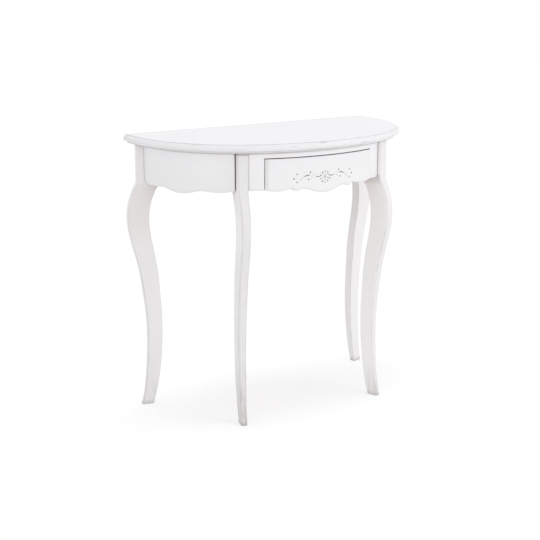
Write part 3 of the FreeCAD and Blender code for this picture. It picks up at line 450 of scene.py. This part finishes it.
# amount and reach of the painted shade, darker towards the drawer front's lower edge
LOWER_EDGE_SHADE, LOWER_EDGE_SHADE_REACH = 0.075, 0.008
SCALLOP_LOW, SCALLOP_PEAK, SCALLOP_CUSP = (0.0, 0.6136), (0.0635, 0.6263), (0.0805, 0.622)
SCALLOP_NOTCH, SCALLOP_END = (0.0955, 0.6308), (FRONT_HALF, 0.6286)
LOBE_SHARE, COVE_SHARE = 0.67, 0.33
FLANK_RADIUS, END_LOBE_RADIUS = 0.030, 0.111
CARVED_LOW, CARVED_HIGH, CARVED_HALF = 0.637, 0.674, 0.1
CARVED_PITCH = 0.00045
QUARTER = np.linspace(0.0, math.pi / 2, 5)[1:]
ROSETTE_Z = 653.8
ROSETTE_DOTS, ROSETTE_RING = 10, 14.3
ROSETTE_EYE = 1.9
PETALS, PETAL_RING, PETAL_RADIUS, PETAL_LINE = 5, 6.6, 3.7, 0.8
# In mm: a dot's place along the bow from the middle, height and radius; a cut's start, bend and end, its half
# width, which is also its depth, and how dark the wax in it is.
SPRAY_DOTS = [
    (44.5, 668.8, 2.1), (49.8, 650.6, 2.0), (82.7, 645.0, 1.9), (83.0, 666.0, 1.9), (91.3, 654.5, 2.2),
]
SPRAY_CUTS = {
    "stem": ((15.5, 654.6), (22.0, 655.8), (28.5, 657.3), 1.3, 0.9),
    "shoot": ((28.5, 657.3), (34.0, 659.5), (41.5, 667.0), 0.7, 0.35),
    "tendril": ((36.0, 657.0), (40.0, 652.5), (46.5, 651.0), 0.7, 0.35),
    "leaf": ((46.0, 661.4), (54.5, 662.0), (62.5, 658.6), 1.5, 0.95),
    "curl": ((62.5, 658.6), (69.0, 655.5), (76.0, 646.5), 0.8, 0.45),
}


def arc_edge(x, start, end, radius, bulge):
    """Height at x of the arc of that radius through start and end; bulge is -1 for a lobe, 1 for a cove."""
    (x0, z0), (x1, z1) = start, end
    span = math.hypot(x1 - x0, z1 - z0)
    rise = math.sqrt(max(radius ** 2 - span ** 2 / 4, 0.0))
    tilt_x, tilt_z = -(z1 - z0) / span, (x1 - x0) / span
    flip = 1.0 if tilt_z > 0 else -1.0
    centre_x = (x0 + x1) / 2 - bulge * flip * tilt_x * rise
    centre_z = (z0 + z1) / 2 - bulge * flip * tilt_z * rise
    return centre_z + bulge * np.sqrt(np.maximum(radius ** 2 - (x - centre_x) ** 2, 0.0))


def scallop(x):
    """Lower edge of the drawer front: middle lobe, cove, cusp, its flank and outer lobe, each an arc in x.

    Lobe and cove turn by the same angle, 2 atan(rise / run) from the lowest point to the peak, and share
    the radius run / sin(angle) between them. The cusp's arc starts level at the peak.
    """
    (peak_x, peak_z), (cusp_x, cusp_z), low_z = SCALLOP_PEAK, SCALLOP_CUSP, SCALLOP_LOW[1]
    turn = 2 * math.atan((peak_z - low_z) / peak_x)
    both = peak_x / math.sin(turn)
    lobe, cove = LOBE_SHARE * both, COVE_SHARE * both
    meet = (lobe * math.sin(turn), low_z + lobe * (1 - math.cos(turn)))
    cusp_run, cusp_fall = cusp_x - peak_x, peak_z - cusp_z
    runs = [
        (SCALLOP_LOW, meet, lobe, -1),
        (meet, SCALLOP_PEAK, cove, 1),
        (SCALLOP_PEAK, SCALLOP_CUSP, (cusp_run ** 2 + cusp_fall ** 2) / (2 * cusp_fall), 1),
        (SCALLOP_CUSP, SCALLOP_NOTCH, FLANK_RADIUS, -1),
        (SCALLOP_NOTCH, SCALLOP_END, END_LOBE_RADIUS, -1),
    ]
    x = np.abs(x)
    return np.select([x <= run[1][0] for run in runs], [arc_edge(x, *run) for run in runs], SCALLOP_END[1])


def carving(along, height):
    """Depth and stain of the carving at places in mm: bowls for punched dots, V cuts along quadratic curves.

    A bowl is 1 - (distance / radius)^2 deep. A cut is 1 - distance / half width deep, and its curve is
    (1-t)^2 a + 2t(1-t) b + t^2 c. Each place takes the deepest of them.
    """
    depth, stain_and_shade = np.zeros_like(along), np.zeros_like(along)

    def take(shape, deep, dark):
        nonlocal depth, stain_and_shade
        shape = np.clip(shape, 0.0, 1.0)
        depth = np.maximum(depth, deep * shape)
        stain_and_shade = np.maximum(stain_and_shade, dark * np.clip(shape * 1.6, 0.0, 1.0))

    def from_ring(radius, angle):
        return np.hypot(along - radius * math.cos(angle), height - ROSETTE_Z - radius * math.sin(angle))

    side = np.abs(along)
    for dot_s, dot_z, radius in SPRAY_DOTS:
        take(1 - (np.hypot(side - dot_s, height - dot_z) / radius) ** 2, deep=1.3, dark=1.0)
    t = np.linspace(0.0, 1.0, 24)[:, None, None]
    for start, bend, end, half_width, dark in SPRAY_CUTS.values():
        line_s, line_z = [(1 - t) ** 2 * a + 2 * t * (1 - t) * b + t ** 2 * c
                          for a, b, c in zip(start, bend, end)]
        width = half_width * (0.55 + 0.45 * np.sin(math.pi * t))
        away = (np.hypot(side - line_s, height - line_z) / width).min(axis=0)
        take(1 - away, deep=half_width, dark=dark)
    for step in range(ROSETTE_DOTS):
        away = from_ring(ROSETTE_RING, math.radians(18 + 360 / ROSETTE_DOTS * step))
        radius = 2.1 + 0.3 * math.sin(2.3 * step)
        take(1 - (away / radius) ** 2, deep=1.2, dark=0.85)
    for step in range(PETALS):
        petal = from_ring(PETAL_RING, math.radians(90 + 360 / PETALS * step))
        take(1 - np.abs(petal - PETAL_RADIUS) / PETAL_LINE, deep=0.7, dark=0.3)
    take(1 - (from_ring(0.0, 0.0) / ROSETTE_EYE) ** 2, deep=1.0, dark=0.7)
    return depth, stain_and_shade


def front_columns():
    """Places of the columns along x: close together over the carving, one at each corner of the lower edge,
    three at the crease of each bevel, and a quarter round of END_ARRIS at each end.
    """
    crease = BEVEL_START + np.array([-CREASE, 0.0, CREASE])
    plain = np.concatenate([np.linspace(CARVED_HALF, BEVEL_START - 0.001, 22), crease,
                            np.linspace(crease[-1], FLAT_HALF, 5)])
    corners = np.array([SCALLOP_CUSP[0], SCALLOP_NOTCH[0]])
    fine = np.arange(-CARVED_HALF, CARVED_HALF, CARVED_PITCH)
    inner = np.unique(np.round(np.concatenate([-plain, -corners, fine, corners, plain]), 6))
    end = FLAT_HALF + END_ARRIS * np.sin(QUARTER)
    return np.concatenate([-end[::-1], inner, end])


def front_rows(x, edge):
    """Heights of the rows over each column, and how far back each row lies.

    A quarter round of ARRIS rises from the lower edge, wider where the edge slopes so that it is as wide
    across it, then come rows up to the carving, close rows over it, rows above, and a quarter round.
    """
    inset = ARRIS * np.sqrt(1 + np.clip(np.gradient(edge, x), -1.0, 1.0) ** 2)
    share = np.linspace(0.0, 1.0, 8)[:-1, None]
    lower = (edge + inset) * (1 - share) + CARVED_LOW * share
    middle = np.arange(CARVED_LOW, CARVED_HIGH, CARVED_PITCH)[:, None] + 0 * x
    upper = np.linspace(CARVED_HIGH, FRONT_TOP - ARRIS, 8)[:, None] + 0 * x
    under = edge + inset * (1 - np.sin(QUARTER[::-1]))[:, None]
    over = FRONT_TOP - ARRIS * (1 - np.sin(QUARTER))[:, None] + 0 * x
    face = np.concatenate([lower, middle, upper])
    back = ARRIS * (1 - np.cos(QUARTER))
    return np.concatenate([under, face, over]), np.concatenate([back[::-1], np.zeros(len(face)), back])


def carved_front():
    """Bowed board as one grid of x columns and rising rows, closed by walls and a back.

    The face lies at y = centre - sqrt((radius - depth)^2 - x^2), where depth is the carving's, the arrises'
    and the end bevels'. A bevel's depth rises evenly over the last END_WIDTH, more at the left end than at
    the right, and ends in a small quarter round. Each point takes the darker of the carving's dark wax and
    the painted shade on the left bevel and along the lower edge. The drawer has play at its sides and sits
    FRONT_SHIFT to the right.
    """
    x = front_columns()
    edge = scallop(x)
    z, row_depth = front_rows(x, edge)
    bevel_depth = np.where(x < 0, LEFT_END_DEPTH, RIGHT_END_DEPTH)
    bevel = bevel_depth * np.clip((np.abs(x) - BEVEL_START) / END_WIDTH, 0.0, 1.0)
    round_in = np.clip((np.abs(x) - FLAT_HALF) / END_ARRIS, 0.0, 1.0)
    end_depth = bevel + END_ARRIS * (1 - np.sqrt(1 - round_in ** 2))
    cut, stain_and_shade = carving(BOW_RADIUS * np.arcsin(x / BOW_RADIUS) / MM + 0 * z, z / MM)
    # painted shade on the left end bevel
    bevel_shade = LEFT_BEVEL_SHADE * np.clip((-x - BEVEL_START) / LEFT_BEVEL_SHADE_RISE, 0.0, 1.0)
    # painted shade, darker towards the lower edge
    lower_edge_shade = LOWER_EDGE_SHADE * np.clip(1 - (z - edge) / LOWER_EDGE_SHADE_REACH, 0.0, 1.0)
    # the carving's dark wax together with the painted shade on the left bevel and along the lower edge
    stain_and_shade = np.maximum(stain_and_shade, np.maximum(bevel_shade, lower_edge_shade))
    depth = np.minimum(row_depth[:, None] + end_depth, bevel_depth + ARRIS) + cut * MM

    placed = x + FRONT_SHIFT
    wide = placed + 0 * z
    y = FRONT_BAY_Y - np.sqrt((BOW_RADIUS - depth) ** 2 - wide ** 2)
    back_y = FRONT_BAY_Y - np.sqrt((BOW_RADIUS - FRONT_THICKNESS) ** 2 - placed ** 2)
    rows, columns = z.shape
    face = np.stack([wide, y, z], axis=-1).reshape(-1, 3)
    back = np.concatenate([np.stack([placed, back_y, z[row]], axis=-1) for row in (0, -1)])
    number = np.arange(rows * columns).reshape(rows, columns)
    foot = rows * columns + np.arange(columns)
    head = foot + columns

    def strip(first, second):
        return np.stack([first[:-1], first[1:], second[1:], second[:-1]], axis=-1)

    cells = [number[:-1, :-1], number[:-1, 1:], number[1:, 1:], number[1:, :-1]]
    quads = np.concatenate([
        np.stack(cells, axis=-1).reshape(-1, 4),
        strip(foot, number[0]), strip(number[-1], head), strip(head, foot),
    ])
    ends = [
        [*number[:, 0].tolist(), int(head[0]), int(foot[0])],
        [*number[::-1, -1].tolist(), int(foot[-1]), int(head[-1])],
    ]
    mesh = bpy.data.meshes.new("carved_drawer_front")
    mesh.from_pydata(np.concatenate([face, back]).tolist(), [], quads.tolist() + ends)
    layer = mesh.attributes.new("carving_stain_and_shade", "FLOAT", "POINT")
    layer.data.foreach_set("value", np.concatenate([stain_and_shade.ravel(), np.zeros(2 * columns)]).astype(np.float32))
    smooth = np.zeros(len(mesh.polygons), dtype=bool)
    smooth[:(rows - 1) * (columns - 1)] = True
    mesh.polygons.foreach_set("use_smooth", smooth)
    mesh.update()
    piece = bpy.data.objects.new("carved_drawer_front", mesh)
    bpy.context.scene.collection.objects.link(piece)
    return piece


def drawer_front_paint(name):
    """White paint with dark wax in the carving, painted shade on the left bevel and lower edge, bare wood at
    the back.
    """
    material, tree, shader, place, colour = white_paint(
        name, DRAWER_WHITE, (4.0, 4.0, 60.0), rub_width=0.0012, rub_cover=0.56, rub_amount=1.0,
        shade_reach=0.006, shade_amount=0.6)
    stain_and_shade_share = put(tree, "ShaderNodeAttribute", attribute_name="carving_stain_and_shade").outputs["Fac"]
    # dark wax in the carving and painted shade on the bevel and lower edge
    colour = blended(tree, stain_and_shade_share, colour, DARK_WAX_AND_SHADE)
    behind = ramp(tree, split(tree, facing(tree))["Y"], 0.6, 0.8)
    grain = effect(tree, wood_grain, Vector=place, Fineness=BOARD_GRAIN)
    tree.links.new(blended(tree, behind, colour, grain["Color"]), shader.inputs["Base Color"])
    return material


front_piece = carved_front()
front_piece.data.materials.append(drawer_front_paint("drawer_front_paint"))
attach(front_piece, "drawer")
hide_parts("drawer_front")

# Top: one half-round board with a stepped ovolo and a small lip routed along its edge, painted white, sanded
# through in streaks along the nose, and held from below by screws in softwood blocks.
TOP_WHITE = (0.884, 0.878, 0.905)
PLAIN_TINT = (1.0, 1.0, 1.0, 1.0)
# painted shade on the nose: darker than the top face
NOSE_SHADE_TINT = (0.92, 0.915, 0.905, 1.0)
OFF_TOP, OFF_UNDERSIDE = (0.97, 0.8), (-0.7, -0.4)
WALL_STRIP, WALL_TONE = (0.163, 0.192), 0.96
NOSE_MIDDLE = (0.08, -0.2, 0.74)
NOSE_REACH, NOSE_WEAR = (0.3, 0.1), (0.12, 0.55)
# heights and amount of the painted shadow line along the lip, under the overhang
LIP_SHADOW_RISE, LIP_SHADOW_LINE = (0.7286, 0.7279), 0.35
STEP_HEAD, STEP_FOOT, STEP_LINE = (0.7497, 0.7489), (0.7474, 0.7482), 0.09


def top_paint(name):
    """White paint, darker on the nose, which is painted shade, and duller along the wall, with the ground
    showing in streaks on the nose.

    The nose is all that turns neither up nor down. Its streaks are strongest at the middle of the front. A
    thin painted shadow line lies along the lip, and a fainter dark line along the step.
    """
    material, tree, shader, place, colour = white_paint(
        name, TOP_WHITE, (3.0, 70.0, 70.0), rub_width=0.0015, rub_cover=0.6, rub_amount=1.0,
        shade_reach=0.006, shade_amount=0.35)
    spot, upward = split(tree, place), split(tree, facing(tree))["Z"]
    nose = product(tree, ramp(tree, upward, *OFF_TOP), ramp(tree, upward, *OFF_UNDERSIDE))
    # painted shade: the nose darker than the top face
    colour = scaled(tree, colour, blended(tree, nose, PLAIN_TINT, NOSE_SHADE_TINT))
    colour = scaled(tree, colour, ramp(tree, spot["Y"], *WALL_STRIP, low=1.0, high=WALL_TONE))
    streaks = effect(tree, rubbed_specks, Vector=place, Fineness=(22.0, 9.0, 420.0), Cover=0.6)
    off_middle = put(tree, "ShaderNodeVectorMath", {0: place, 1: NOSE_MIDDLE}, operation="DISTANCE")
    wear = ramp(tree, off_middle.outputs["Value"], *NOSE_REACH, *NOSE_WEAR)
    colour = blended(tree, product(tree, product(tree, nose, streaks["Mask"]), wear), colour, GROUND_AND_SHADE)
    # painted shadow line along the lip, under the overhang
    lip = product(tree, ramp(tree, spot["Z"], *LIP_SHADOW_RISE, high=LIP_SHADOW_LINE), nose)
    colour = blended(tree, lip, colour, GROUND_AND_SHADE)
    step = product(tree, ramp(tree, spot["Z"], *STEP_HEAD), ramp(tree, spot["Z"], *STEP_FOOT, high=STEP_LINE))
    tree.links.new(blended(tree, step, colour, GROUND_AND_SHADE), shader.inputs["Base Color"])
    return material


dress(["top_board"], top_paint("top_paint"))
dress(["top_fixing_blocks"], crosswise_wood)

# Studio: a plain white floor that keeps the table's soft shadow and fades out to pure white round it, an even
# white surround that gives most of the light, and two large soft lamps, a key at the front right and a weaker
# fill, low at the front left.
FLOOR_HALF = 9.0
FLOOR_BOUNCE = (0.82, 0.82, 0.82, 1.0)
FLOOR_SHADED = (0.987, 0.989, 0.994, 1.0)
FLOOR_PLAIN = 1.02
SHADOW_CENTRE = (-0.015, 0.03, 0.0)
SHADOW_REACH = (0.62, 0.255, 1.0)
SHADOW_FADE = (0.17, 1.24)
WHITE = (1.0, 1.0, 1.0, 1.0)
SURROUND_LIGHT, SURROUND_SEEN = 0.99, 1.0
LAMP_AIM = Vector((0.0, 0.0, 0.5))


def looked_at(tree):
    """1 for what the camera sees, directly, mirrored or through glass, and 0 for what only gives light."""
    rays = put(tree, "ShaderNodeLightPath").outputs
    mirrored = put(tree, "ShaderNodeMath", {0: rays["Is Glossy Ray"], 1: rays["Is Transmission Ray"]},
                   operation="MAXIMUM").outputs[0]
    either = put(tree, "ShaderNodeMath", {0: rays["Is Camera Ray"], 1: mirrored}, operation="MAXIMUM")
    return either.outputs[0]


def mixed(tree, factor, below, above):
    """Shader that goes from below to above as the factor goes from 0 to 1."""
    return put(tree, "ShaderNodeMixShader", {0: factor, 1: below.outputs[0], 2: above.outputs[0]})


floor_mesh = bpy.data.meshes.new("studio_floor")
floor_corners = [(x * FLOOR_HALF, y * FLOOR_HALF, 0.0) for x, y in ((-1, -1), (1, -1), (1, 1), (-1, 1))]
floor_mesh.from_pydata(floor_corners, [], [(0, 1, 2, 3)])
floor = bpy.data.objects.new("studio_floor", floor_mesh)
bpy.context.scene.collection.objects.link(floor)
floor_paint = bpy.data.materials.new("floor_white")
floor_paint.use_nodes = True
floor_tree = floor_paint.node_tree
floor_tree.nodes.clear()
bounced = put(floor_tree, "ShaderNodeBsdfDiffuse", {"Color": FLOOR_BOUNCE})
shaded = put(floor_tree, "ShaderNodeBsdfDiffuse", {"Color": FLOOR_SHADED})
plain = put(floor_tree, "ShaderNodeEmission", {"Strength": FLOOR_PLAIN})
floor_place = put(floor_tree, "ShaderNodeTexCoord").outputs["Object"]
off_centre = put(floor_tree, "ShaderNodeVectorMath", {0: floor_place, 1: SHADOW_CENTRE}, operation="SUBTRACT")
reach = put(floor_tree, "ShaderNodeVectorMath", {0: off_centre.outputs["Vector"], 1: SHADOW_REACH},
            operation="DIVIDE")
away = put(floor_tree, "ShaderNodeVectorMath", {0: reach.outputs["Vector"]}, operation="LENGTH")
fade = ramp(floor_tree, away.outputs["Value"], *SHADOW_FADE, interpolation_type="SMOOTHSTEP")
shown = mixed(floor_tree, fade, shaded, plain)
floor_mix = mixed(floor_tree, looked_at(floor_tree), bounced, shown)
put(floor_tree, "ShaderNodeOutputMaterial", {"Surface": floor_mix.outputs[0]})
floor_mesh.materials.append(floor_paint)

world = bpy.data.worlds.new("studio")
bpy.context.scene.world = world
world.use_nodes = True
world_tree = world.node_tree
world_tree.nodes.clear()
lighting = put(world_tree, "ShaderNodeBackground", {"Color": WHITE, "Strength": SURROUND_LIGHT})
seen_white = put(world_tree, "ShaderNodeBackground", {"Color": WHITE, "Strength": SURROUND_SEEN})
world_mix = mixed(world_tree, looked_at(world_tree), lighting, seen_white)
put(world_tree, "ShaderNodeOutputWorld", {"Surface": world_mix.outputs[0]})


def soft_lamp(name, place, size, power):
    """Square area lamp at a place, turned to the middle of the table, that no satin face mirrors."""
    lamp = bpy.data.lights.new(name, "AREA")
    lamp.size = size
    lamp.energy = power
    holder = bpy.data.objects.new(name, lamp)
    holder.location = place
    holder.rotation_euler = (LAMP_AIM - Vector(place)).to_track_quat("-Z", "Y").to_euler()
    holder.visible_glossy = False
    bpy.context.scene.collection.objects.link(holder)


soft_lamp("key_lamp", place=(2.3, -2.9, 1.3), size=2.0, power=17.4)
soft_lamp("fill_lamp", place=(-1.5, -3.4, 0.7), size=2.0, power=9.0)

# Camera: where the photograph was taken from, about three metres off at the front left, a little above the
# top, with a long lens.
CAMERA_PLACE = (-1.7663, -2.6893, 1.1759)
LOOKS_DOWN, LOOKS_RIGHT = 14.09, 32.40
camera_lens = bpy.data.cameras.new("camera")
camera_lens.lens = 80.07
camera_lens.sensor_width = 36.0
camera = bpy.data.objects.new("camera", camera_lens)
camera.location = CAMERA_PLACE
camera.rotation_euler = (math.radians(90.0 - LOOKS_DOWN), 0.0, math.radians(-LOOKS_RIGHT))
bpy.context.scene.collection.objects.link(camera)
bpy.context.scene.camera = camera
bpy.context.scene.view_settings.view_transform = "Standard"
